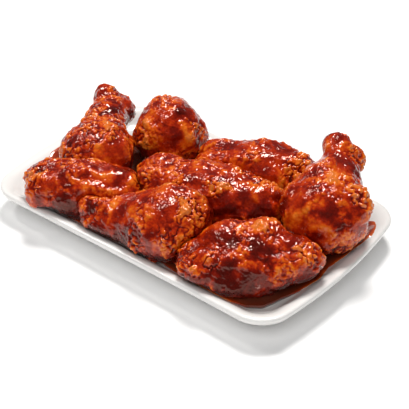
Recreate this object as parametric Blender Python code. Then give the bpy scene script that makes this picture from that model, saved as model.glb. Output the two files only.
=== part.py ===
"""Eight glazed chicken wings on a white rectangular platter, with the sauce that has pooled round them.

Lengths below are in millimetres, and MM turns them into Blender's metres. The platter's middle is the
origin, X runs along its length and Z up from the surface that it stands on. Each wing is a few round
lobes of bone and meat that melt into one form. Where wings lean on each other, or on the platter, both
are pressed flat with a small gap between them, as soft food is.
"""

import math

import bmesh
import bpy
import numpy as np
from mathutils import Matrix, Vector

MM = 0.001

# Platter
HALF_LENGTH = 110.0  # to the middle of the short sides' chord, without their bow
HALF_WIDTH = 72.0
SHORT_SIDE_BOW = 7.7
LONG_SIDE_BOW = -0.9
CORNER_RADIUS = 17.5
INNER_CORNER_RADIUS = 7.0
CORNER_SHRINK = 0.45  # how fast the corners tighten on the way in
RIM_HEIGHT = 19.0
FLOOR_HEIGHT = 10.0
RECESS_HEIGHT = 5.5  # of the underside inside the foot ring
# The section as (distance in from the edge, height): the side that faces up, from the edge inward
TOP_SECTION = [
    (0.0, 17.4),
    (0.45, 18.5),
    (1.7, RIM_HEIGHT),
    (4.0, 18.5),
    (6.8, 17.1),
    (9.5, 15.0),
    (12.5, 12.5),
    (16.0, 10.7),
    (20.0, FLOOR_HEIGHT),
]
# and the side that faces down, from the edge to the recess
UNDER_SECTION = [
    (0.35, 15.4),
    (1.4, 14.5),
    (3.0, 14.6),
    (6.0, 13.0),
    (9.5, 9.6),
    (12.8, 4.8),
    (15.2, 0.7),
    (16.2, 0.0),
    (20.5, 0.0),
    (21.5, 0.8),
    (23.5, 4.9),
    (26.0, RECESS_HEIGHT),
]
CORNER_STEPS = 7
LONG_STEPS = 6
SHORT_STEPS = 6

# Wings
BLEND = 2.2  # how softly the lobes of a wing melt together
WING_GAP = 0.9  # between two wings that touch
REST_GAP = 0.5  # between a wing and the sauce that it lies on
SLOPE_GAP = 1.3  # the same where the sauce thins out on the platter's slope
RIM_GAP = 1.0  # more of it where a wing overhangs the rim
RIM_INSET = 10.0
LUMP_SIZE = 23.0  # of the waves in the crust; its lumps lie about half that apart, with creases between
LUMP_HEIGHT = 1.9
LUMP_WAVES = 9
WING_DETAIL = 4  # an icosphere of 1280 triangles

# Sauce
SAUCE_LEVEL = 12.8
SAUCE_FILM = 1.0  # its thickness where it has climbed the platter's slope
SAUCE_GAP = 0.6  # between the sauce and the platter
SAUCE_STEPS = 54  # points round its edge
# How far the sauce has run, as places round its edge, anticlockwise from the right
SAUCE_EDGE = [
    (106.5, 17),
    (108, 24),
    (109.5, 31),
    (110.3, 38),
    (109, 45),
    (105, 53),
    (96, 57),
    (60, 60),
    (10, 58),
    (-40, 57),
    (-75, 49),
    (-94, 32),
    (-106, 14),
    (-111, -4),
    (-111.5, -11),
    (-109.8, -18),
    (-106, -25),
    (-95, -33),
    (-82, -44),
    (-66, -55),
    (-45, -58),
    (-15, -57),
    (12, -55),
    (32, -57.5),
    (50, -59.5),
    (70, -60),
    (83, -57.5),
    (89, -54.5),
    (94.5, -50),
    (96.5, -43),
    (99, -36),
    (102, -27),
    (104, -20),
    (106.3, -13),
    (105.5, -6),
    (103.5, 1),
    (105, 9),
]


def reset_scene():
    for obj in list(bpy.data.objects):
        bpy.data.objects.remove(obj)


def material(name, colour, roughness, metallic=0.0):
    made = bpy.data.materials.new(name)
    made.use_nodes = True
    shader = made.node_tree.nodes["Principled BSDF"]
    shader.inputs["Base Color"].default_value = (*colour, 1.0)
    shader.inputs["Roughness"].default_value = roughness
    shader.inputs["Metallic"].default_value = metallic
    return made


def new_object(name, mesh, finish):
    """Turns a finished bmesh into an object; the bmesh is freed."""
    bmesh.ops.recalc_face_normals(mesh, faces=mesh.faces)
    data = bpy.data.meshes.new(name)
    mesh.to_mesh(data)
    mesh.free()
    data.shade_smooth()
    data.materials.append(finish)
    obj = bpy.data.objects.new(name, data)
    bpy.context.scene.collection.objects.link(obj)
    return obj


def join_rings(mesh, rings):
    """Closes a skin over rings of corners, each with as many as the next, and over both ends."""
    count = len(rings[0])
    for inner, outer in zip(rings, rings[1:]):
        for i in range(count):
            j = (i + 1) % count
            mesh.faces.new((inner[i], inner[j], outer[j], outer[i]))
    mesh.faces.new(rings[0][::-1])
    mesh.faces.new(rings[-1])


# Platter


def bowed(x, y):
    """A point of the straight-sided outline, pushed out to the bowed one."""
    return (
        x * (1 + SHORT_SIDE_BOW / HALF_LENGTH * (1 - (y / HALF_WIDTH) ** 2)),
        y * (1 + LONG_SIDE_BOW / HALF_WIDTH * (1 - (x / HALF_LENGTH) ** 2)),
    )


def corner_radius(inset):
    return np.maximum(CORNER_RADIUS - CORNER_SHRINK * inset, INNER_CORNER_RADIUS)


def outline(inset):
    """The platter's outline that far in from its edge, anticlockwise from the right side's middle."""
    half_x = HALF_LENGTH - inset
    half_y = HALF_WIDTH - inset
    radius = float(corner_radius(inset))
    points = []
    for quarter in range(4):
        sign_x = (1, -1, -1, 1)[quarter]
        sign_y = (1, 1, -1, -1)[quarter]
        centre = (sign_x * (half_x - radius), sign_y * (half_y - radius))
        for step in range(CORNER_STEPS + 1):
            angle = math.radians(90 * (quarter + step / CORNER_STEPS))
            points.append((centre[0] + radius * math.cos(angle), centre[1] + radius * math.sin(angle)))
        steps = (LONG_STEPS, SHORT_STEPS)[quarter % 2]
        start = Vector(points[-1])
        along = Vector((-sign_x, 0)) if quarter % 2 == 0 else Vector((0, -sign_y))
        reach = 2 * ((half_x, half_y)[quarter % 2] - radius)
        for step in range(1, steps):
            points.append(tuple(start + along * reach * step / steps))
    return [bowed(x, y) for x, y in points]


def inset_at(x, y):
    """How far in from the edge the outline through this point runs: the inverse of outline()."""
    flat_x = np.abs(x) / (1 + SHORT_SIDE_BOW / HALF_LENGTH * (1 - (y / HALF_WIDTH) ** 2))
    flat_y = np.abs(y) / (1 + LONG_SIDE_BOW / HALF_WIDTH * (1 - (x / HALF_LENGTH) ** 2))
    low = np.full(np.shape(flat_x), -60.0)
    high = np.full(np.shape(flat_x), 70.0)
    for _ in range(26):
        inset = (low + high) / 2
        radius = corner_radius(inset)
        past_x = np.maximum(flat_x - (HALF_LENGTH - inset - radius), 0)
        past_y = np.maximum(flat_y - (HALF_WIDTH - inset - radius), 0)
        inside = np.hypot(past_x, past_y) < radius
        low = np.where(inside, inset, low)
        high = np.where(inside, high, inset)
    return low


def platter_top(x, y):
    """The height of the platter's upper side under a point; outside the platter it falls away."""
    insets, heights = zip(*TOP_SECTION)
    inset = inset_at(x, y)
    return np.where(inset < 0, RIM_HEIGHT + 3 * inset, np.interp(inset, insets, heights))


def build_platter(finish):
    mesh = bmesh.new()
    rings = []
    for inset, height in UNDER_SECTION[::-1] + TOP_SECTION:
        rings.append([mesh.verts.new((x * MM, y * MM, height * MM)) for x, y in outline(inset)])
    join_rings(mesh, rings)
    obj = new_object("platter", mesh, finish)
    obj.data.set_sharp_from_angle(angle=math.radians(40))
    return obj


# Sauce


def sauce_edge():
    """The sauce's edge as a smooth closed curve through SAUCE_EDGE, in even steps."""
    dense = []
    count = len(SAUCE_EDGE)
    for i in range(count):
        before, start, end, after = (Vector(SAUCE_EDGE[(i + k) % count]) for k in (-1, 0, 1, 2))
        for step in range(8):
            t = step / 8
            dense.append(
                0.5
                * (
                    2 * start
                    + (end - before) * t
                    + (2 * before - 5 * start + 4 * end - after) * t * t
                    + (3 * start - 3 * end + after - before) * t**3
                )
            )
    dense.append(dense[0])
    dense = np.array(dense)
    walked = np.concatenate(([0], np.cumsum(np.linalg.norm(np.diff(dense, axis=0), axis=1))))
    even = np.linspace(0, walked[-1], SAUCE_STEPS, endpoint=False)
    return np.stack([np.interp(even, walked, dense[:, k]) for k in range(2)], axis=1)


def sauce_top(x, y):
    return np.maximum(SAUCE_LEVEL, platter_top(x, y) + SAUCE_GAP + SAUCE_FILM)


def build_sauce(finish):
    """A puddle whose rounded edge thins out on the platter; its rings shrink toward the middle."""
    edge = sauce_edge()
    mesh = bmesh.new()
    rings = []
    for shrink in (0.5, 0.82, 0.88, 0.94, 1.0):
        x, y = (edge * shrink).T
        height = platter_top(x, y) + SAUCE_GAP
        rings.append([mesh.verts.new(Vector(place) * MM) for place in zip(x, y, height)])
    for shrink, part in ((0.997, 0.5), (0.988, 0.85), (0.97, 1.0), (0.93, 1.0), (0.88, 1.0), (0.8, 1.0)):
        x, y = (edge * shrink).T
        low = platter_top(x, y) + SAUCE_GAP
        height = low + (sauce_top(x, y) - low) * part
        rings.append([mesh.verts.new(Vector(place) * MM) for place in zip(x, y, height)])
    join_rings(mesh, rings)
    return new_object("sauce_pool", mesh, finish)


# Wings


class Wing:
    """One wing. Its own frame has X from the bone end to the thick end, and Z up before it is rolled."""

    def __init__(self, name, tail, head, lobes, roll=0.0, bend=0.0, seed=0):
        self.name = name
        tail = Vector(tail)
        head = Vector(head)
        along = (head - tail).normalized()
        across = Vector((0, 0, 1)).cross(along).normalized()
        up = along.cross(across)
        turn = Matrix.Rotation(math.radians(roll), 3, "X")
        self.turn = Matrix((along, across, up)).transposed() @ turn
        self.middle = (tail + head) / 2
        self.half = (head - tail).length / 2
        self.lobes = lobes
        places = [centre[0] for centre, _ in lobes]
        self.bone = (min(places), max(places))
        self.bend = bend
        self.seed = seed

    def to_local(self, points):
        return (points - np.array(self.middle)) @ np.array(self.turn)

    def to_world(self, points):
        return points @ np.array(self.turn).T + np.array(self.middle)

    def distance(self, points):
        """Roughly how far points of the platter's frame are outside the wing; less than 0 is inside."""
        local = self.to_local(points)
        local[..., 2] -= self.bend * (1 - (local[..., 0] / self.half) ** 2)
        total = 0.0
        for centre, radii in self.lobes:
            scaled = (local - centre) / np.array(radii)
            first = np.linalg.norm(scaled, axis=-1)
            second = np.linalg.norm(scaled / np.array(radii), axis=-1)
            total = total + np.exp(-first * (first - 1) / np.maximum(second, 1e-6) / BLEND)
        return -BLEND * np.log(total)


def drumette(length, meat, knob=8.0, twist=0.0, shank=8.5, shoulder=0.8, extra=()):
    """Lobes of a drumette: two knuckles of the bone end, the shank and the meat that hangs on it.

    meat is its (width, thickness), knob a knuckle's radius, shank the radius behind the knuckles and
    shoulder that of the meat's near half as a share of its width. twist turns the knuckles about the bone.
    """
    half = length / 2
    width = meat[0] / 2
    thick = meat[1] / 2
    end = half - 0.5 * width - 0.5 * thick
    aside = knob * math.cos(math.radians(twist))
    above = knob * math.sin(math.radians(twist))
    return [
        ((-half + knob, 0.72 * aside, 0.72 * above), (knob, knob, knob)),
        ((-half + 1.5 * knob, -0.85 * aside, -0.85 * above), (1.1 * knob, knob, knob)),
        ((-half + 0.34 * length, 0, 0), (0.2 * length, shank, shank)),
        ((end - 0.55 * width, 0, 0), (0.85 * width, shoulder * width, shoulder * thick)),
        ((end, 0, 0), (0.5 * (width + thick), width, thick)),
        *extra,
    ]


def flat(length, width, thick, knuckle=0.76, extra=()):
    """Lobes of a flat: a broad middle over its two bones, a double knuckle and the narrower wrist end.

    knuckle is how thick both ends are as a share of the middle.
    """
    half = length / 2
    side = 0.5 * knuckle * thick
    return [
        ((0.02 * length, 0, 0), (0.4 * length, 0.5 * width, 0.5 * thick)),
        ((-half + 0.18 * length, 0.2 * width, 0), (0.18 * length, 0.24 * width, side)),
        ((-half + 0.2 * length, -0.16 * width, 0), (0.18 * length, 0.22 * width, side)),
        ((half - 0.18 * length, 0.0, 0), (0.18 * length, 0.3 * width, side)),
        *extra,
    ]


def wings():
    return [
        Wing(
            "drumette_back_left",
            tail=(-106, 46, 37),
            head=(-57, -33, 29),
            lobes=drumette(93, (50, 40), knob=9, twist=148, shank=13, shoulder=0.74),
            seed=1,
        ),
        Wing(
            "drumette_back",
            tail=(-71, 63, 23),
            head=(-36, 21, 37),
            lobes=drumette(57, (46, 44), extra=[((4, -14, -6), (12, 10, 11)), ((8, 14, -8), (13, 11, 13))]),
            seed=2,
        ),
        Wing(
            "flat_left",
            tail=(-82, -65, 28),
            head=(-17, -18, 25),
            lobes=flat(81, 41, 35),
            seed=3,
        ),
        Wing(
            "drumette_front",
            tail=(-43, -61, 22),
            head=(42, -33, 33),
            lobes=drumette(
                88,
                (49, 43),
                twist=50,
                shank=12.5,
                extra=[
                    ((33, 7, 8), (9, 9, 9)),
                    ((11, -12.5, -6), (16, 10, 10)),
                    ((-16, -4.5, -4), (17, 10, 10)),
                ],
            ),
            seed=4,
        ),
        Wing(
            "flat_middle",
            tail=(-37, -14, 25),
            head=(65, 12, 30),
            lobes=flat(105, 50, 41, extra=[((-41, 7, 3), (8, 8, 10)), ((-38, -9, 5), (9, 8, 10))]),
            seed=5,
        ),
        Wing(
            "flat_back",
            tail=(-14, 21, 28),
            head=(61, 55, 30),
            lobes=flat(82, 42, 40),
            seed=6,
        ),
        Wing(
            "flat_front",
            tail=(42, -61.5, 23),
            head=(104, -12.5, 28),
            lobes=flat(
                84,
                40.5,
                35,
                knuckle=0.68,
                extra=[
                    ((-9, 9, 12), (12, 10, 10)),
                    ((10, 10, 13), (11, 10, 10)),
                    ((-6, -12, -7), (19, 8, 9)),
                    ((-28, -6, -1), (10, 8, 9)),
                    ((32, -4, 3), (9, 8, 9)),
                ],
            ),
            seed=7,
        ),
        Wing(
            "drumette_right",
            tail=(70, 67.5, 55),
            head=(94.5, 0.5, 27),
            lobes=drumette(
                82,
                (54, 46),
                knob=8.5,
                twist=140,
                shank=12,
                shoulder=0.6,
                extra=[((-6, -3, 3), (10, 16, 15)), ((14, 15, 4), (13, 11, 13))],
            ),
            seed=8,
        ),
    ]


def lumps(wing, points):
    """The uneven crust as a height at each point: rounded lumps between creases.

    Waves cross in LUMP_WAVES random directions, and the creases run where their sum changes its sign.
    """
    chance = np.random.default_rng(wing.seed)
    local = wing.to_local(points)
    height = 0.0
    for _ in range(LUMP_WAVES):
        direction = chance.normal(size=3)
        direction /= np.linalg.norm(direction) * LUMP_SIZE * chance.uniform(0.8, 1.5)
        height = height + np.sin(2 * math.pi * (local @ direction + chance.uniform()))
    return LUMP_HEIGHT * (np.minimum(np.abs(height) / math.sqrt(LUMP_WAVES), 1.3) - 0.55)


def rest_height(x, y):
    """The lowest that a wing may reach: just above the sauce, and well clear of the slope and the rim."""
    over_rim = np.clip((RIM_INSET - inset_at(x, y)) / 4, 0, 1)
    over_slope = platter_top(x, y) + SAUCE_GAP + SAUCE_FILM + SLOPE_GAP + RIM_GAP * over_rim
    return np.maximum(SAUCE_LEVEL + REST_GAP, over_slope)


def free_distance(wing, others, points):
    """Distance outside a wing once its neighbours and what it lies on have pressed it flat."""
    own = wing.distance(points)
    pressed = own - lumps(wing, points)
    for other in others:
        pressed = np.maximum(pressed, (own - other.distance(points)) / 2 + WING_GAP / 2)
    return np.maximum(pressed, rest_height(points[..., 0], points[..., 1]) - points[..., 2])


def build_wing(wing, others, finish):
    """Sends rays from the wing's bone line and puts a corner of the mesh where each leaves the wing."""
    mesh = bmesh.new()
    bmesh.ops.create_icosphere(mesh, subdivisions=WING_DETAIL, radius=1.0)
    rays = np.array([vert.co[:] for vert in mesh.verts])
    starts = np.zeros(rays.shape)
    starts[:, 0] = np.interp(rays[:, 0], (-1, 1), wing.bone)
    starts[:, 2] = wing.bend * (1 - (starts[:, 0] / wing.half) ** 2)
    far = np.full(len(rays), 45.0)
    for _ in range(60):
        points = wing.to_world(starts + rays * far[:, None])
        far -= np.clip(free_distance(wing, others, points), -2.0, 4.0) * 0.7
    far = np.maximum(far, 1.5)
    for vert, start, ray, length in zip(mesh.verts, starts, rays, far):
        vert.co = Vector(start + ray * length) * MM
    obj = new_object(wing.name, mesh, finish)
    obj.matrix_world = Matrix.Translation(wing.middle * MM) @ wing.turn.to_4x4()
    return obj


def main():
    reset_scene()
    glaze = material("white_glaze", (0.86, 0.85, 0.83), 0.25)
    crust = material("glazed_crust", (0.33, 0.06, 0.012), 0.3)
    sauce = material("brown_sauce", (0.12, 0.015, 0.006), 0.15)
    build_platter(glaze)
    build_sauce(sauce)
    pieces = wings()
    for piece in pieces:
        build_wing(piece, [other for other in pieces if other is not piece], crust)


main()
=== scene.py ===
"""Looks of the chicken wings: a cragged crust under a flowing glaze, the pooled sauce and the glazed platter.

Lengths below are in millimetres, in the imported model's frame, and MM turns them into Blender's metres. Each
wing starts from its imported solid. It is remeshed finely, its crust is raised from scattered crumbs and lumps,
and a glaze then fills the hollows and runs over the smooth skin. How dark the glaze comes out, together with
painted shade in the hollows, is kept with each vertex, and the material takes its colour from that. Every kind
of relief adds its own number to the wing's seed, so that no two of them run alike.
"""

import math

import bmesh
import bpy
import numpy as np
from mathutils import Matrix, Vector, kdtree

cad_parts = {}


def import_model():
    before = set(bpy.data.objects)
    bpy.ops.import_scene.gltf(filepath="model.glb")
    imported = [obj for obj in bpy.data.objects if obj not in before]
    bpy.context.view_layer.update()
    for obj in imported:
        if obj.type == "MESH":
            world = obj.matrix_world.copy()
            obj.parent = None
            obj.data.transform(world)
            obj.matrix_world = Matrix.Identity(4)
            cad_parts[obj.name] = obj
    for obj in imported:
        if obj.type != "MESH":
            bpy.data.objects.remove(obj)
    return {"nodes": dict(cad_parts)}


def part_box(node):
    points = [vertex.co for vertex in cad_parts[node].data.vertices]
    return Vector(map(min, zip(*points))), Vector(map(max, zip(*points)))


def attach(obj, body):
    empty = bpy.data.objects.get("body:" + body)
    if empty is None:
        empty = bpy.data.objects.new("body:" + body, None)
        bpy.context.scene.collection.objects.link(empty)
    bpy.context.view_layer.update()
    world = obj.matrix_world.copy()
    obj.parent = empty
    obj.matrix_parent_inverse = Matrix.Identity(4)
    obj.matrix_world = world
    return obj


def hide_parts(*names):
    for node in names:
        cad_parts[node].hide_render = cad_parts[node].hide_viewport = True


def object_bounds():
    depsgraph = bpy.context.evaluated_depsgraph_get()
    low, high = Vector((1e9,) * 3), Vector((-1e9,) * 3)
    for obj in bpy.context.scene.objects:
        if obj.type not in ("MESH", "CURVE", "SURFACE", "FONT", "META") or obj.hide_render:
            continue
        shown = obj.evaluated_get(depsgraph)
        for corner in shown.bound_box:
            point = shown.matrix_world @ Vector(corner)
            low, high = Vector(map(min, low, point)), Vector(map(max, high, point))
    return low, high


MM = 0.001

# Camera, at the photograph's viewing angle
CAMERA_AIM = (11.25, -0.56, 19.0)
CAMERA_AZIMUTH = 38.95
CAMERA_ELEVATION = 35.02
CAMERA_DISTANCE = 681.25
CAMERA_LENS = 94.83

# Platter, with the same outline and section as its solid, as (distance in from the edge, height)
HALF_LENGTH = 110.0
HALF_WIDTH = 72.0
SHORT_SIDE_BOW = 7.7
LONG_SIDE_BOW = -0.9
CORNER_RADIUS = 17.5
INNER_CORNER_RADIUS = 7.0
CORNER_SHRINK = 0.45
RIM_HEIGHT = 19.0
SECTION_END = 62.0
TOP_SECTION = [
    (0.0, 17.4),
    (0.45, 18.5),
    (1.7, RIM_HEIGHT),
    (4.0, 18.5),
    (6.8, 17.1),
    (9.5, 15.0),
    (12.5, 12.5),
    (16.0, 10.7),
    (20.0, 10.0),
    (40.0, 10.0),
    (SECTION_END, 10.0),
]
UNDER_SECTION = [
    (0.35, 15.4),
    (1.4, 14.5),
    (3.0, 14.6),
    (6.0, 13.0),
    (9.5, 9.6),
    (12.8, 4.8),
    (15.2, 0.7),
    (16.2, 0.0),
    (20.5, 0.0),
    (21.5, 0.8),
    (23.5, 4.9),
    (26.0, 5.5),
    (40.0, 5.5),
    (SECTION_END, 5.5),
]
CORNER_STEPS = 20
SIDE_STEPS = 30
SECTION_STEPS = 4  # between two places of the section
INSET_RANGE = (-60.0, 70.0)  # where inset_at() looks
INSET_HALVINGS = 26

# Sauce
SAUCE_LEVEL = 12.8
SAUCE_FILM = 1.5
SAUCE_FILM_REACH = 1.9  # from the edge in, over which the film swells to its thickness
SAUCE_SINK = 0.05  # below the platter's surface
SAUCE_RINGS = 110
SAUCE_RING_REACH = 0.75  # share of the way from the edge to the middle that the rings cover
SAUCE_RING_CROWDING = 1.4  # above 1, the rings lie closer at the edge
SAUCE_STEPS = 420
SAUCE_CURVE_STEPS = 12  # between two places of the edge
SAUCE_EDGE_GAP = 0.1
SAUCE_WOBBLES = ((7.0, 0.7, 21), (2.5, 0.4, 22))  # of the edge, as (size, height, seed)
SAUCE_RIPPLES = ((8.0, 0.25, 31), (3.0, 0.12, 32))  # of the surface
RIPPLE_ON_POOL = 0.4
DARK_DEPTH = 3.2  # where the sauce takes its darkest colour
MENISCUS_HEIGHT = 1.6
MENISCUS_REACH = 1.7
MENISCUS_EDGE_REACH = 1.5  # from the edge in, over which the sauce starts to climb
MENISCUS_WINGS_BELOW = 4.0  # above the sauce, the parts of the wings that draw it up
SAUCE_EDGE = [
    (106.5, 17),
    (108, 24),
    (109.5, 31),
    (110.3, 38),
    (109, 45),
    (105, 53),
    (96, 57),
    (60, 60),
    (10, 58),
    (-40, 57),
    (-75, 49),
    (-94, 32),
    (-106, 14),
    (-111, -4),
    (-111.5, -11),
    (-109.8, -18),
    (-106, -25),
    (-95, -33),
    (-82, -44),
    (-66, -55),
    (-45, -58),
    (-15, -57),
    (12, -55),
    (32, -57.5),
    (50, -59.5),
    (70, -60),
    (83, -57.5),
    (89, -54.5),
    (94.5, -50),
    (96.5, -43),
    (99, -36),
    (102, -27),
    (104, -20),
    (106.3, -13),
    (105.5, -6),
    (103.5, 1),
    (105, 9),
]

# Wings
VOXEL = 0.55  # of the remeshed crust
VOXEL_SMOOTHING = 6  # rounds that take out the voxels' steps
WING_CLEARANCE = 0.42  # share of the gap to a neighbour that the relief may use
WING_GAP = 0.1
NEIGHBOUR_STEP = 4  # every fourth vertex of a neighbour is measured to
SEED_STEP = 1000  # between one wing's seeds and the next one's
DIP = 0.4  # how far below the sauce the relief may reach
RELIEF_SINK = 1.0  # how far the crust's middle lies inside the solid

# Crust
MOOD = 0.25  # above 0, more of the crust is craggy by chance
MOOD_SIZE = 22.0
CRAGGY_PULL = 0.8  # how much the craggy places below count
SMOOTH_PULL = 0.9
CRUMB_LAYERS = ((8.5, 2.0), (4.3, 1.8), (2.3, 1.1))  # (size, height) of the crust's lumps
CRUMB_BEND = (0.8, 0.6)  # (size, reach) of the bends that make them uneven, in lumps
CRUMB_PATCH = 3.2  # size of the patches with low or tall lumps, in lumps
LOW_PATCH = 0.35
TALL_PATCH = 1.45
PIT_SIZE = 5.0
PIT_BEND = (3.0, 1.5)
PIT_DEPTH = 1.3
BLISTER_LAYERS = ((4.4, 1.3), (2.2, 1.0))  # (size, height) of the bumps under the glaze
BLISTER_BEND = (0.8, 0.4)
BLISTERED_SIZE = 17.0
LOW_BLISTERS = 0.25
FOLD_SIZE = 13.0
FOLD_BEND = (9.0, 3.0)
FOLD_HEIGHT = 0.78
SKIN_LEVEL = 0.5
SKIN_UNDER_CRUMBS = 0.4  # share of the smooth skin's relief that stays where it is craggy

# Glaze: how high it stands over the crust's middle
GLAZE_LEVEL = 0.9
GLAZE_SWELLS = ((11.0, 0.75, 500), (5.0, 0.55, 520))  # (size, height, seed)
GLAZE_RIDGE_SIZE = 8.0
GLAZE_RIDGE_BEND = (7.0, 3.0)
GLAZE_RIDGE_HEIGHT = 0.45
GLAZE_SHARPNESS = 5  # of the line where crust comes out of the glaze
WET_HEIGHT = 20.0  # above the sauce, where the glaze hangs thick
DRIPS = (3.6, 1.0, 760)  # (size, height, seed)
DRIP_STRETCH = (1, 1, 0.35)
DROPS = (6.0, 0.6, 770)
HIGHER_WHERE_WET = 0.5
DRIP_HEIGHT = 0.75
HIGHER_WHERE_THICK = 0.45
LOWER_WHERE_THIN = 0.5
LOWER_ON_CRAGS = 0.1

# Glaze: how dark it comes out, from 0 on bare crust to 1; part of this darkness is painted shade in the hollows
DARKNESS = 0.62
DARKER_WITH_DEPTH = 0.15  # for each millimetre over the crust
DARKER_IN_CRAGS = 0.05  # and as much more again where it is craggy
GLAZE_AND_SHADE_IN_HOLLOWS = 0.34  # for each millimetre below the skin round about: glaze that gathers in hollows, and painted shade in pits and creases
HOLLOW_SMOOTHING = 30  # rounds that make the skin round about
DARKER_WHERE_THICK = 0.32
LIGHTER_WHERE_THIN = 0.22
# Darker towards the bottom of each wing, fading out WET_HEIGHT above the sauce
DARKER_LOW_DOWN = 0.3
STREAK_SIZE = 4.5
STREAK_STRETCH = (1, 1, 0.28)
STREAK_DARKNESS = 0.3
CLOUD_SIZE = 9.0
CLOUD_DARKNESS = 0.26

# Where a wing is smooth or craggy, and where its glaze lies thick or thin, as (x, y, z, reach)
PLACE_BENDS = ((12.0, 7.0, 5), (4.0, 2.5, 6))  # (size, reach, seed) of what makes their edges ragged
SMOOTH_PLACES = [
    (-38, 26, 46, 19),
    (-42, 37, 51, 14),
    (-49, -54, 40, 21),
    (-35, -43, 41, 17),
    (-16, -53, 38, 14),
    (2, -60, 38, 14),
    (-5, -65, 27, 14),
    (39, -15, 33, 18),
    (58, -3, 34, 15),
    (85, -40, 42, 17),
    (89, -56, 29, 20),
    (94, 8, 52, 20),
    (86, -2, 45, 16),
    (109, 8, 41, 12),
    (-81, 15, 46, 8),
    (70, -30, 47, 15),
    (35, 2, 46, 11),
    (86, 31, 60, 17),
]
CRAGGY_PLACES = [
    (-67, -30, 43, 22),
    (-65, -16, 49, 20),
    (-80, 5, 46, 14),
    (-98, 34, 46, 10),
    (-29, 44, 38, 10),
    (-55, 15, 37, 11),
    (-74, -60, 36, 9),
    (35, -58, 39, 20),
    (33, -42, 46, 12),
    (-18, -20, 42, 14),
    (52, 46, 44, 14),
    (102, -23, 40, 11),
    (106, 26, 52, 13),
    (84, 58, 54, 14),
    (72, 62, 60, 9),
    (-90, -60, 30, 12),
    (45, -68, 25, 14),
]
THICK_PLACES = [
    (-42, 37, 51, 8),
    (-52, -56, 40, 7),
    (-74, -58, 40, 7),
    (-52, -65, 24, 12),
    (-27, -58, 34, 5),
    (-5, -65, 27, 7),
    (38, -15, 34, 8),
    (58, -3, 35, 9),
    (85, -40, 42, 11),
    (89, -57, 29, 16),
    (70, -56, 30, 15),
    (62, -45, 40, 12),
    (8, -58, 32, 12),
    (109, 8, 42, 9),
    (-81, 15, 46, 7),
]
THIN_PLACES = [
    (-50, 18, 42, 12),
    (-29, 30, 36, 10),
    (-71, -7, 50, 7),
    (-30, 31, 43, 9),
    (-48, 34, 52, 5),
    (-35, -43, 42, 11),
    (-16, -53, 38, 9),
    (3, -60, 40, 8),
    (34, -30, 46, 7),
    (33, -44, 47, 6),
    (33, -8, 44, 6),
    (74, -50, 42, 5),
    (75, -27, 48, 7),
    (101, -23, 40, 7),
    (86, -2, 47, 9),
    (87, 22, 58, 8),
]


# Noise

NOISE_GAIN = 1.6  # brings soft noise up to about 1
LOWEST_DOME = 0.35
DOME_WIDTH = 0.8


def chance(cells, seed):
    """Numbers from 0 to 1 that look random and are always the same for a whole-number cell and seed."""
    mixed = (cells[..., 0] * 73856093) ^ (cells[..., 1] * 19349663) ^ (cells[..., 2] * 83492791)
    mixed = (mixed ^ (seed * 2654435761)).astype(np.uint32)
    for shift, factor in ((16, 0x7FEB352D), (15, 0x846CA68B)):
        mixed = (mixed ^ (mixed >> shift)) * np.uint32(factor)
    return (mixed ^ (mixed >> 16)) / 2**32


def noise(points, size, seed):
    """Soft noise from about -1 to 1, with waves of the given size."""
    scaled = points / size
    cell = np.floor(scaled).astype(np.int64)
    part = scaled - cell
    fade = part**3 * (part * (part * 6 - 15) + 10)
    total = np.zeros(len(points))
    for corner in np.ndindex(2, 2, 2):
        here = cell + corner
        slope = np.stack([chance(here, seed + k) for k in range(3)], axis=-1) * 2 - 1
        weight = np.prod(np.where(corner, fade, 1 - fade), axis=-1)
        total += weight * ((part - corner) * slope).sum(-1)
    return total * NOISE_GAIN


def domes(points, size, seed):
    """Round bumps of uneven height, scattered about size apart: from 0 between them to 1 on the highest."""
    scaled = points / size
    cell = np.floor(scaled).astype(np.int64)
    highest = np.zeros(len(points))
    for offset in np.ndindex(3, 3, 3):
        here = cell + offset - 1
        centre = here + np.stack([chance(here, seed + k) for k in range(3)], axis=-1)
        away = ((scaled - centre) ** 2).sum(-1)
        tall = LOWEST_DOME + (1 - LOWEST_DOME) * chance(here, seed + 3)
        highest = np.maximum(highest, tall * (1 - away / DOME_WIDTH))
    return highest


def warped(points, size, reach, seed):
    """The points, each pushed aside by soft noise, so that bumps there lose their round outlines."""
    return points + reach * np.stack([noise(points, size, seed + 10 * k) for k in range(3)], axis=-1)


def waves(points, layers, seed=0):
    """Several layers of soft noise together, each given as (size, height, seed)."""
    return sum(height * noise(points, size, seed + draw) for size, height, draw in layers)


def ridges(points, size, seed):
    """Narrow crests at 1, with wide hollows down to -1 between them."""
    return 1 - 2 * np.abs(noise(points, size, seed))


def smoothstep(low, high, value):
    part = np.clip((value - low) / (high - low), 0, 1)
    return part * part * (3 - 2 * part)


def nearness(points, places):
    """1 at the middle of the closest place, and 0 beyond its reach, with a ragged edge."""
    bent = points
    for bend in PLACE_BENDS:
        bent = warped(bent, *bend)
    closest = np.zeros(len(points))
    for *middle, reach in places:
        away = np.linalg.norm(bent - middle, axis=-1) / reach
        closest = np.maximum(closest, 1 - smoothstep(0.35, 1.0, away))
    return closest


# Meshes


def coordinates(mesh):
    flat = np.zeros(len(mesh.vertices) * 3)
    mesh.vertices.foreach_get("co", flat)
    return flat.reshape(-1, 3) / MM


def normals(mesh):
    flat = np.zeros(len(mesh.vertices) * 3)
    mesh.vertex_normals.foreach_get("vector", flat)
    return flat.reshape(-1, 3)


def move_to(mesh, points):
    mesh.vertices.foreach_set("co", (points * MM).ravel())
    mesh.update()


def keep_attribute(mesh, name, values):
    made = mesh.attributes.new(name, "FLOAT", "POINT")
    made.data.foreach_set("value", values.astype(np.float32))


def join_rings(work, first, second):
    """Adds the faces between two rings of as many vertices."""
    for i in range(len(first)):
        j = (i + 1) % len(first)
        work.faces.new((first[i], first[j], second[j], second[i]))


def new_object(name, mesh):
    obj = bpy.data.objects.new(name, mesh)
    bpy.context.scene.collection.objects.link(obj)
    return obj


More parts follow.
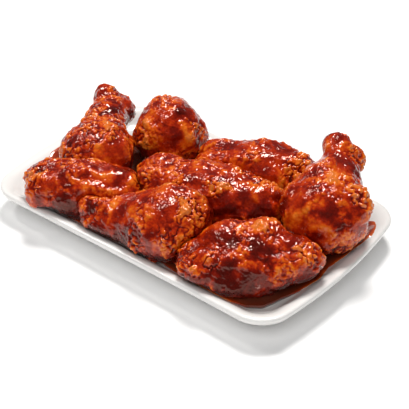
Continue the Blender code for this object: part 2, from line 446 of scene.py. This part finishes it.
def neighbour_means(mesh, values):
    """The mean of each vertex's neighbours along the mesh's edges."""
    pairs = np.zeros(len(mesh.edges) * 2, dtype=np.int32)
    mesh.edges.foreach_get("vertices", pairs)
    first, second = pairs.reshape(-1, 2).T
    count = np.bincount(pairs, minlength=len(values))
    ends = np.concatenate([first, second])
    starts = np.concatenate([second, first])
    columns = values.reshape(len(values), -1).T
    means = [np.bincount(ends, weights=column[starts], minlength=len(values)) / count for column in columns]
    return np.stack(means, axis=-1).reshape(values.shape)


def relaxed(mesh, values, rounds):
    for _ in range(rounds):
        values = (values + neighbour_means(mesh, values)) / 2
    return values


def fine_copy(node):
    """A finely remeshed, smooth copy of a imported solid."""
    mesh = node.data.copy()
    work = bmesh.new()
    work.from_mesh(mesh)
    bmesh.ops.remove_doubles(work, verts=work.verts, dist=0.001 * MM)
    work.to_mesh(mesh)
    work.free()
    obj = new_object(node.name + "_fine", mesh)
    subdivide = obj.modifiers.new("Subdivide", "SUBSURF")
    subdivide.levels = 2
    remesh = obj.modifiers.new("Remesh", "REMESH")
    remesh.mode = "VOXEL"
    remesh.voxel_size = VOXEL * MM
    bpy.context.view_layer.update()
    seen = obj.evaluated_get(bpy.context.evaluated_depsgraph_get())
    fine = bpy.data.meshes.new_from_object(seen)
    bpy.data.objects.remove(obj)
    move_to(fine, relaxed(fine, coordinates(fine), VOXEL_SMOOTHING))
    return fine


# Materials


class Shader:
    """A material's node tree, filled node by node; each call returns the new node's first output."""

    def __init__(self, name):
        self.material = bpy.data.materials.new(name)
        self.material.use_nodes = True
        self.tree = self.material.node_tree
        self.surface = self.tree.nodes["Principled BSDF"]

    def node(self, kind, values=(), **settings):
        made = self.tree.nodes.new(kind)
        for key, value in settings.items():
            setattr(made, key, value)
        for socket, value in dict(values).items():
            self.feed(made.inputs[socket], value)
        return made

    def feed(self, socket, value):
        if isinstance(value, bpy.types.NodeSocket):
            self.tree.links.new(value, socket)
        else:
            socket.default_value = value

    def place(self):
        return self.node("ShaderNodeTexCoord").outputs["Object"]

    def attribute(self, name):
        return self.node("ShaderNodeAttribute", attribute_name=name).outputs["Fac"]

    def noise(self, size, detail=2.0, distortion=0.0):
        values = {
            "Vector": self.place(),
            "Scale": 1 / (size * MM),
            "Detail": detail,
            "Distortion": distortion,
        }
        return self.node("ShaderNodeTexNoise", values).outputs["Fac"]

    def math(self, operation, first, second=0.0, clamp=False):
        made = self.node("ShaderNodeMath", {0: first, 1: second}, operation=operation, use_clamp=clamp)
        return made.outputs[0]

    def spread(self, value, low, high):
        """A noise value about 0.5, turned into one from low to high."""
        return self.math("ADD", self.math("MULTIPLY", value, high - low), low)

    def ramp(self, value, stops):
        made = self.node("ShaderNodeValToRGB", {"Fac": value})
        elements = made.color_ramp.elements
        elements[0].position, elements[0].color = stops[0][0], (*stops[0][1], 1)
        elements[1].position, elements[1].color = stops[-1][0], (*stops[-1][1], 1)
        for position, colour in stops[1:-1]:
            elements.new(position).color = (*colour, 1)
        return made.outputs["Color"]

    def mix(self, share, first, second):
        made = self.node("ShaderNodeMix", data_type="RGBA")
        self.feed(made.inputs[0], share)
        self.feed(made.inputs[6], first)
        self.feed(made.inputs[7], second)
        return made.outputs[2]

    def bump(self, height, distance):
        values = {"Height": height, "Distance": distance * MM, "Strength": 1.0}
        return self.node("ShaderNodeBump", values).outputs["Normal"]

    def finish(self, values):
        for socket, value in values.items():
            self.feed(self.surface.inputs[socket], value)
        return self.material


def crust_material():
    shader = Shader("glazed_crust")
    # The glaze number also holds painted shade in the wings' hollows
    glaze = shader.attribute("glaze")
    mottle = shader.spread(shader.noise(4.0, detail=3.0, distortion=1.0), -0.15, 0.15)
    speck = shader.spread(shader.noise(1.3, detail=1.0), -0.11, 0.11)
    depth = shader.math("ADD", shader.math("ADD", glaze, mottle), speck, clamp=True)
    colour = shader.ramp(
        depth,
        [
            (0.0, (0.59, 0.145, 0.024)),
            (0.13, (0.69, 0.155, 0.010)),
            (0.31, (0.56, 0.073, 0.003)),
            (0.50, (0.37, 0.019, 0.001)),
            (0.70, (0.165, 0.0042, 0.0006)),
            (1.0, (0.07, 0.002, 0.0006)),
        ],
    )
    pimples = shader.bump(shader.noise(2.6, detail=1.0), 0.6)
    return shader.finish(
        {
            "Base Color": colour,
            "Roughness": 0.16,
            "Specular IOR Level": 0.55,
            "Specular Tint": (1.0, 0.6, 0.48, 1.0),
            "Normal": pimples,
            "Coat Weight": 0.3,
            "Coat IOR": 1.41,
            "Coat Roughness": 0.03,
            "Coat Normal": pimples,
            "Subsurface Weight": 0.12,
            "Subsurface Radius": (1.0, 0.35, 0.12),
            "Subsurface Scale": 1.2 * MM,
        }
    )


def sauce_material():
    shader = Shader("brown_sauce")
    depth = shader.attribute("depth")
    mottle = shader.spread(shader.noise(5.0, detail=3.0, distortion=0.8), -0.1, 0.1)
    colour = shader.ramp(
        shader.math("ADD", depth, mottle, clamp=True),
        [
            (0.0, (0.55, 0.20, 0.06)),
            (0.14, (0.50, 0.065, 0.006)),
            (0.34, (0.25, 0.022, 0.003)),
            (0.6, (0.13, 0.019, 0.006)),
            (1.0, (0.085, 0.016, 0.007)),
        ],
    )
    waves = shader.bump(shader.noise(7.0, detail=1.0), 0.35)
    return shader.finish(
        {
            "Base Color": colour,
            "Roughness": 0.16,
            "Normal": waves,
            "Coat Weight": 1.0,
            "Coat Roughness": 0.04,
            "Coat Normal": waves,
        }
    )


def platter_material():
    shader = Shader("white_glaze")
    cloud = shader.noise(30.0, detail=2.0)
    colour = shader.mix(cloud, (0.78, 0.765, 0.745, 1), (0.75, 0.735, 0.715, 1))
    ripple = shader.bump(shader.noise(9.0, detail=1.0), 0.04)
    return shader.finish(
        {
            "Base Color": colour,
            "Roughness": shader.spread(shader.noise(3.0), 0.14, 0.24),
            "Normal": ripple,
            "Coat Weight": 0.6,
            "Coat Roughness": 0.05,
        }
    )


def floor_material():
    shader = Shader("white_table")
    cloud = shader.noise(160.0, detail=1.0)
    colour = shader.mix(cloud, (0.93, 0.93, 0.93, 1), (0.91, 0.91, 0.91, 1))
    return shader.finish({"Base Color": colour, "Roughness": 0.75, "Specular IOR Level": 0.2})


# Platter


def curve_through(places, steps, closed=False):
    """Points along a smooth curve through all the places."""
    places = np.array(places, dtype=float)
    if closed:
        places = np.concatenate([places[-1:], places, places[:2]])
    else:
        places = np.concatenate([2 * places[:1] - places[1:2], places, 2 * places[-1:] - places[-2:-1]])
    points = []
    for before, start, end, after in zip(places, places[1:], places[2:], places[3:]):
        for step in range(steps):
            t = step / steps
            points.append(
                0.5
                * (
                    2 * start
                    + (end - before) * t
                    + (2 * before - 5 * start + 4 * end - after) * t * t
                    + (3 * start - 3 * end + after - before) * t**3
                )
            )
    if not closed:
        points.append(places[-2])
    return np.array(points)


def bowed(x, y):
    return (
        x * (1 + SHORT_SIDE_BOW / HALF_LENGTH * (1 - (y / HALF_WIDTH) ** 2)),
        y * (1 + LONG_SIDE_BOW / HALF_WIDTH * (1 - (x / HALF_LENGTH) ** 2)),
    )


def corner_radius(inset):
    return np.maximum(CORNER_RADIUS - CORNER_SHRINK * inset, INNER_CORNER_RADIUS)


def outline(inset):
    """The platter's outline that far in from its edge, anticlockwise from the right side's middle."""
    half_x = HALF_LENGTH - inset
    half_y = HALF_WIDTH - inset
    radius = float(corner_radius(inset))
    points = []
    for quarter in range(4):
        sign_x = (1, -1, -1, 1)[quarter]
        sign_y = (1, 1, -1, -1)[quarter]
        centre = (sign_x * (half_x - radius), sign_y * (half_y - radius))
        for step in range(CORNER_STEPS + 1):
            angle = math.radians(90 * (quarter + step / CORNER_STEPS))
            points.append((centre[0] + radius * math.cos(angle), centre[1] + radius * math.sin(angle)))
        start = Vector(points[-1])
        along = Vector((-sign_x, 0)) if quarter % 2 == 0 else Vector((0, -sign_y))
        reach = 2 * ((half_x, half_y)[quarter % 2] - radius)
        for step in range(1, SIDE_STEPS):
            points.append(tuple(start + along * reach * step / SIDE_STEPS))
    return [bowed(x, y) for x, y in points]


def inset_at(x, y):
    """How far in from the edge the outline through this point runs: the inverse of outline()."""
    flat_x = np.abs(x) / (1 + SHORT_SIDE_BOW / HALF_LENGTH * (1 - (y / HALF_WIDTH) ** 2))
    flat_y = np.abs(y) / (1 + LONG_SIDE_BOW / HALF_WIDTH * (1 - (x / HALF_LENGTH) ** 2))
    low, high = (np.full(np.shape(flat_x), limit) for limit in INSET_RANGE)
    for _ in range(INSET_HALVINGS):
        inset = (low + high) / 2
        radius = corner_radius(inset)
        past_x = np.maximum(flat_x - (HALF_LENGTH - inset - radius), 0)
        past_y = np.maximum(flat_y - (HALF_WIDTH - inset - radius), 0)
        inside = np.hypot(past_x, past_y) < radius
        low = np.where(inside, inset, low)
        high = np.where(inside, high, inset)
    return low


def platter_top(x, y):
    insets, heights = zip(*TOP_SECTION)
    return np.interp(inset_at(x, y), insets, heights)


def build_platter(cad_low, cad_high, finish):
    work = bmesh.new()
    section = curve_through(UNDER_SECTION[::-1] + TOP_SECTION, SECTION_STEPS)
    rings = []
    for inset, height in section:
        inset = min(inset, SECTION_END)
        height = min(max(height, cad_low.z / MM), RIM_HEIGHT)
        corners = []
        for x, y in outline(max(inset, 0.0)):
            place = Vector((x, y, height)) * MM
            place.x = min(max(place.x, cad_low.x), cad_high.x)
            place.y = min(max(place.y, cad_low.y), cad_high.y)
            corners.append(work.verts.new(place))
        rings.append(corners)
    for inner, outer in zip(rings, rings[1:]):
        join_rings(work, inner, outer)
    work.faces.new(rings[0][::-1])
    work.faces.new(rings[-1])
    bmesh.ops.recalc_face_normals(work, faces=work.faces)
    mesh = bpy.data.meshes.new("platter_glazed")
    work.to_mesh(mesh)
    work.free()
    mesh.shade_smooth()
    mesh.materials.append(finish)
    obj = new_object("platter_glazed", mesh)
    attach(obj, "root")
    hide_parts("platter")


# Wings


def tree_of(points):
    tree = kdtree.KDTree(len(points))
    for i, point in enumerate(points):
        tree.insert(point, i)
    tree.balance()
    return tree


def distances(tree, points):
    return np.array([tree.find(point)[2] for point in points])


def crumb_heights(points, seed):
    """Lumps of batter in several sizes, with pits between them."""
    heights = 0.0
    for layer, (size, height) in enumerate(CRUMB_LAYERS):
        draw = seed + 50 * layer
        bent = warped(points, *np.multiply(CRUMB_BEND, size), draw)
        patch = smoothstep(-0.35, 0.45, noise(points, CRUMB_PATCH * size, draw + 17))
        tall = LOW_PATCH + (TALL_PATCH - LOW_PATCH) * patch
        heights = heights + height * tall * domes(bent, size, draw + 31)
    crests = ridges(warped(points, *PIT_BEND, seed + 230), PIT_SIZE, seed + 260)
    return heights - PIT_DEPTH * smoothstep(0.62, 0.95, crests)


def blister_heights(points, seed):
    """Round bumps in several sizes, tall in some areas and low in others."""
    heights = 0.0
    for layer, (size, height) in enumerate(BLISTER_LAYERS):
        draw = seed + 50 * layer
        bent = warped(points, *np.multiply(BLISTER_BEND, size), draw + 300)
        heights = heights + height * domes(bent, size, draw + 350)
    blistered = smoothstep(-0.15, 0.35, noise(points, BLISTERED_SIZE, seed + 450))
    return heights * (LOW_BLISTERS + (1 - LOW_BLISTERS) * blistered)


def crust_heights(points, seed):
    """Relief of the bare crust, and how craggy it is from 0 to 1."""
    mood = MOOD + noise(points, MOOD_SIZE, seed)
    craggy = smoothstep(0.1, 0.9, mood + CRAGGY_PULL * nearness(points, CRAGGY_PLACES))
    craggy = craggy * (1 - SMOOTH_PULL * nearness(points, SMOOTH_PLACES))
    folds = FOLD_HEIGHT * ridges(warped(points, *FOLD_BEND, seed + 5), FOLD_SIZE, seed + 6)
    skin = SKIN_LEVEL + folds + blister_heights(points, seed)
    crags = crumb_heights(points, seed) + SKIN_UNDER_CRUMBS * skin
    return skin + (crags - skin) * craggy, craggy


def glaze_heights(points, seed):
    """How high the glaze stands before anything makes it thicker or thinner."""
    crests = ridges(warped(points, *GLAZE_RIDGE_BEND, seed + 540), GLAZE_RIDGE_SIZE, seed + 560)
    return GLAZE_LEVEL + waves(points, GLAZE_SWELLS, seed) + GLAZE_RIDGE_HEIGHT * crests


def build_wing(name, mesh, others, box, seed, finish):
    """Raises a wing's crust, lays the glaze over it, and puts it in the place of its solid."""
    points = coordinates(mesh)
    outward = normals(mesh)
    wet = 1 - smoothstep(SAUCE_LEVEL, SAUCE_LEVEL + WET_HEIGHT, points[:, 2])
    thick = nearness(points, THICK_PLACES)
    thin = nearness(points, THIN_PLACES)
    drips = waves(points * DRIP_STRETCH, [DRIPS], seed) + waves(points, [DROPS], seed)
    crust, craggy = crust_heights(points, seed)
    level = (
        glaze_heights(points, seed)
        + wet * (HIGHER_WHERE_WET + DRIP_HEIGHT * drips)
        + HIGHER_WHERE_THICK * thick
        - LOWER_WHERE_THIN * thin
        - LOWER_ON_CRAGS * craggy
    )

    height = np.log(np.exp(crust * GLAZE_SHARPNESS) + np.exp(level * GLAZE_SHARPNESS)) / GLAZE_SHARPNESS
    room = distances(others, points) * WING_CLEARANCE - WING_GAP
    surface = np.minimum(height - RELIEF_SINK, room)
    moved = np.clip(points + outward * surface[:, None], box[0], box[1])
    moved[:, 2] = np.maximum(moved[:, 2], np.minimum(points[:, 2], SAUCE_LEVEL - DIP))
    move_to(mesh, moved)

    # How far each vertex lies below the skin round about: the colour darkens there, for glaze that gathers in
    # hollows and as painted shade in pits and creases
    hollow = ((relaxed(mesh, moved, HOLLOW_SMOOTHING) - moved) * outward).sum(-1)
    streaks = noise(points * STREAK_STRETCH, STREAK_SIZE, seed + 730) * (1 - np.abs(outward[:, 2]))
    glaze = (
        DARKNESS
        + (DARKER_WITH_DEPTH + DARKER_IN_CRAGS * craggy) * (level - crust)
        + GLAZE_AND_SHADE_IN_HOLLOWS * hollow
        + DARKER_WHERE_THICK * thick
        - LIGHTER_WHERE_THIN * thin
        # darker towards the bottom of each wing
        + DARKER_LOW_DOWN * wet
        + STREAK_DARKNESS * streaks
        + CLOUD_DARKNESS * noise(points, CLOUD_SIZE, seed + 700)
    )
    keep_attribute(mesh, "glaze", np.clip(glaze, 0, 1))
    mesh.shade_smooth()
    mesh.materials.clear()
    mesh.materials.append(finish)
    obj = new_object(name + "_glazed", mesh)
    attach(obj, "root")
    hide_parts(name)


# Sauce


def sauce_edge():
    """The puddle's edge as evenly spaced places, with a small uneven wobble."""
    dense = curve_through(SAUCE_EDGE, SAUCE_CURVE_STEPS, closed=True)
    around = np.concatenate([dense, dense[:1]])
    walked = np.concatenate([[0], np.cumsum(np.linalg.norm(np.diff(around, axis=0), axis=1))])
    even = np.linspace(0, walked[-1], SAUCE_STEPS, endpoint=False)
    edge = np.stack([np.interp(even, walked, around[:, k]) for k in range(2)], axis=1)
    wobble = waves(flat_points(*edge.T), SAUCE_WOBBLES)
    return edge * (1 - (SAUCE_EDGE_GAP + wobble) / np.linalg.norm(edge, axis=1))[:, None]


def flat_points(x, y):
    return np.stack([x, y, np.zeros(len(x))], axis=1)


def sauce_heights(x, y, from_edge, wing_points):
    """Underside and top: a thin film on the slope, level below, and drawn up at the wings."""
    bottom = platter_top(x, y)
    ripple = waves(flat_points(x, y), SAUCE_RIPPLES)
    film = SAUCE_FILM * (1 - np.exp(-from_edge / SAUCE_FILM_REACH)) * (1 + ripple)
    top = np.maximum(SAUCE_LEVEL + RIPPLE_ON_POOL * ripple, bottom + film)
    wings = tree_of(wing_points[wing_points[:, 2] < SAUCE_LEVEL + MENISCUS_WINGS_BELOW])
    away = distances(wings, np.stack([x, y, top], axis=1))
    climb = MENISCUS_HEIGHT * np.exp(-away / MENISCUS_REACH) * (1 - np.exp(-from_edge / MENISCUS_EDGE_REACH))
    return bottom, top + climb


def build_sauce(wing_points, finish):
    """The puddle, as rings from its edge inward."""
    edge = sauce_edge()
    share = 1 - SAUCE_RING_REACH * np.linspace(0, 1, SAUCE_RINGS) ** SAUCE_RING_CROWDING
    x, y = (edge * share[:, None, None]).reshape(-1, 2).T
    from_edge = (np.linalg.norm(edge, axis=1) * (1 - share[:, None])).ravel()
    bottom, top = sauce_heights(x, y, from_edge, wing_points)
    depth = np.clip((top - bottom) / DARK_DEPTH, 0, 1)

    work = bmesh.new()
    tops = [work.verts.new(Vector(place) * MM) for place in zip(x, y, top)]
    lows = [work.verts.new(Vector(place) * MM) for place in zip(x, y, bottom - SAUCE_SINK)]
    for level in (tops, lows):
        rings = [level[start : start + SAUCE_STEPS] for start in range(0, len(level), SAUCE_STEPS)]
        for outer, inner in zip(rings, rings[1:]):
            join_rings(work, outer, inner)
        work.faces.new(rings[-1])
    join_rings(work, lows[:SAUCE_STEPS], tops[:SAUCE_STEPS])
    bmesh.ops.recalc_face_normals(work, faces=work.faces)
    mesh = bpy.data.meshes.new("sauce_glossy")
    work.to_mesh(mesh)
    work.free()

    keep_attribute(mesh, "depth", np.concatenate([depth, depth]))
    mesh.shade_smooth()
    mesh.materials.append(finish)
    obj = new_object("sauce_glossy", mesh)
    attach(obj, "root")
    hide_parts("sauce_pool")


# Camera, lights and floor


def towards(azimuth, elevation):
    """The direction from the object to something round it; azimuth 0 is in front, and 90 to the right."""
    turn = math.radians(azimuth)
    rise = math.radians(elevation)
    return Vector((math.sin(turn) * math.cos(rise), -math.cos(turn) * math.cos(rise), math.sin(rise)))


def add_camera():
    data = bpy.data.cameras.new("camera")
    data.lens = CAMERA_LENS
    data.sensor_width = 36.0
    camera = new_object("camera", data)
    back = towards(CAMERA_AZIMUTH, CAMERA_ELEVATION)
    camera.location = (Vector(CAMERA_AIM) + back * CAMERA_DISTANCE) * MM
    camera.rotation_euler = back.to_track_quat("Z", "Y").to_euler()
    bpy.context.scene.camera = camera


def add_light(name, azimuth, elevation, distance, size, power, colour):
    data = bpy.data.lights.new(name, "AREA")
    data.shape = "DISK"
    data.size = size
    data.energy = power
    data.color = colour
    light = new_object(name, data)
    back = towards(azimuth, elevation)
    light.location = Vector(CAMERA_AIM) * MM + back * distance
    light.rotation_euler = back.to_track_quat("Z", "Y").to_euler()
    return light


def add_stage(finish):
    work = bmesh.new()
    bmesh.ops.create_grid(work, x_segments=8, y_segments=8, size=3.0)
    mesh = bpy.data.meshes.new("table")
    work.to_mesh(mesh)
    work.free()
    mesh.materials.append(finish)
    new_object("table", mesh)


def add_lights():
    warm = (1.0, 0.985, 0.96)
    add_light("key", azimuth=-150, elevation=66, distance=1.6, size=0.48, power=24.5, colour=warm)
    add_light("side", azimuth=-80, elevation=55, distance=1.6, size=0.3, power=5, colour=warm)
    fill = add_light("fill", azimuth=28, elevation=48, distance=1.8, size=1.4, power=18, colour=(1, 1, 1))
    fill.visible_glossy = False
    world = bpy.data.worlds.new("studio")
    world.use_nodes = True
    background = world.node_tree.nodes["Background"]
    background.inputs["Color"].default_value = (1, 1, 1, 1)
    background.inputs["Strength"].default_value = 0.1
    bpy.context.scene.world = world
    bpy.context.scene.view_settings.view_transform = "Standard"


def main():
    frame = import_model()
    cad_low, cad_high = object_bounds()
    nodes = frame["nodes"]
    add_camera()
    add_lights()
    add_stage(floor_material())
    build_platter(*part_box("platter"), platter_material())
    wings = sorted(set(nodes) - {"platter", "sauce_pool"})
    crust = crust_material()
    box = (np.array(cad_low) / MM, np.array(cad_high) / MM)
    meshes = {name: fine_copy(nodes[name]) for name in wings}
    skins = {name: coordinates(mesh)[::NEIGHBOUR_STEP] for name, mesh in meshes.items()}
    for index, (name, mesh) in enumerate(meshes.items()):
        others = np.concatenate([skins[other] for other in wings if other != name])
        build_wing(name, mesh, tree_of(others), box, SEED_STEP * (index + 1), crust)
    surfaces = [coordinates(mesh) for mesh in meshes.values()]
    build_sauce(np.concatenate(surfaces), sauce_material())


main()
